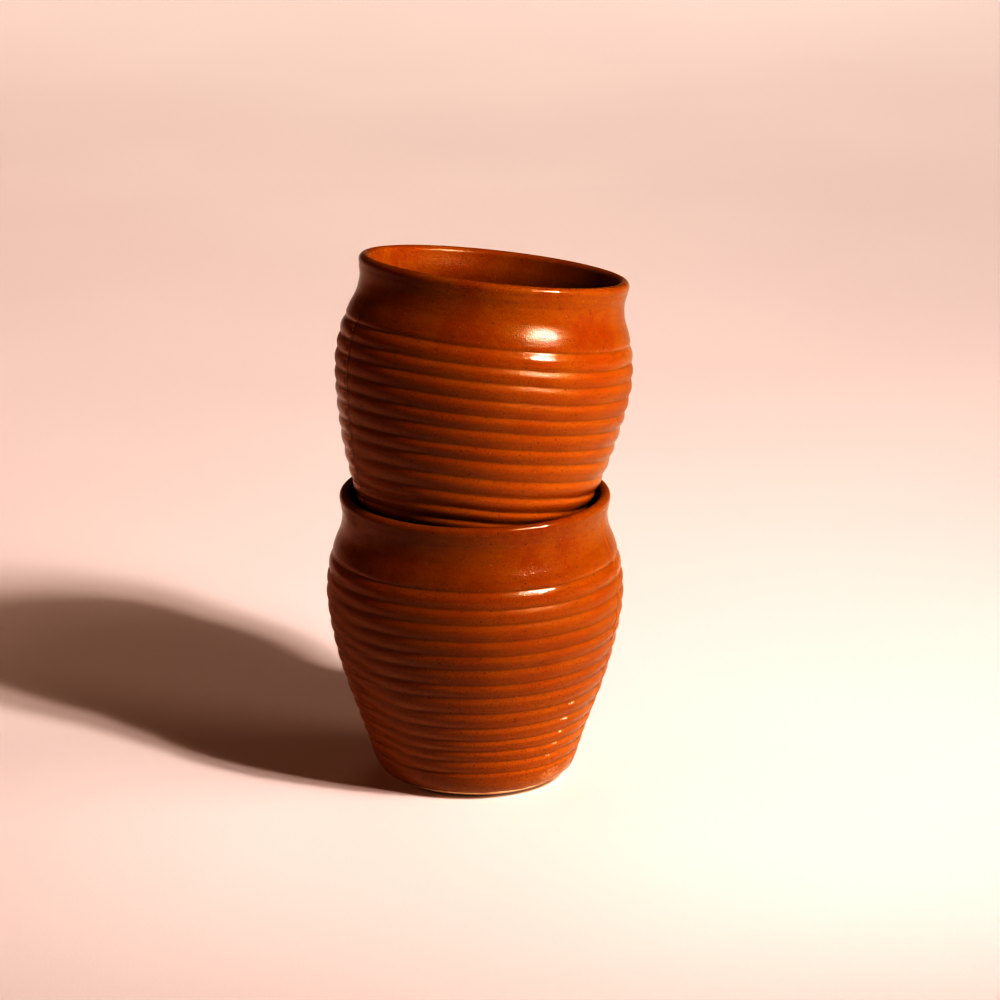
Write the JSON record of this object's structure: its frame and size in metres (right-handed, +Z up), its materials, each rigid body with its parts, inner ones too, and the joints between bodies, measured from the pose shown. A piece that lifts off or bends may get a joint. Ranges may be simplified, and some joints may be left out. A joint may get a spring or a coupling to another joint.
{
  "type": "kulhad cup",
  "caption": "Stacked ribbed clay kulhad tea cups with a speckled burnt-orange glaze, rounded lips and bare foot rings, the upper cup leaning in the mouth of the lower.",
  "frame": {"origin": "centre of the lower cup's foot ring, on the table", "axes": "+Z up along the lower cup's axis, -Y towards the picture's viewer, +X to the viewer's right"},
  "size_m": [0.0823, 0.0842, 0.1453],
  "materials": {
    "fired_clay": "bare fired clay, matte",
    "orange_glaze": "satin gloss burnt-orange glaze with fine dark pits and pale specks"
  },
  "bodies": {
    "lower_cup": {"lower_cup_body": "fired_clay", "lower_cup_glaze": "orange_glaze"},
    "upper_cup": {"upper_cup_body": "fired_clay", "upper_cup_glaze": "orange_glaze"}
  },
  "joints": [
    {"name": "upper_cup_lift", "type": "slide", "parent": "lower_cup", "child": "upper_cup", "axis": [0, 0, 1], "range_m": [0, 0.08]}
  ]
}
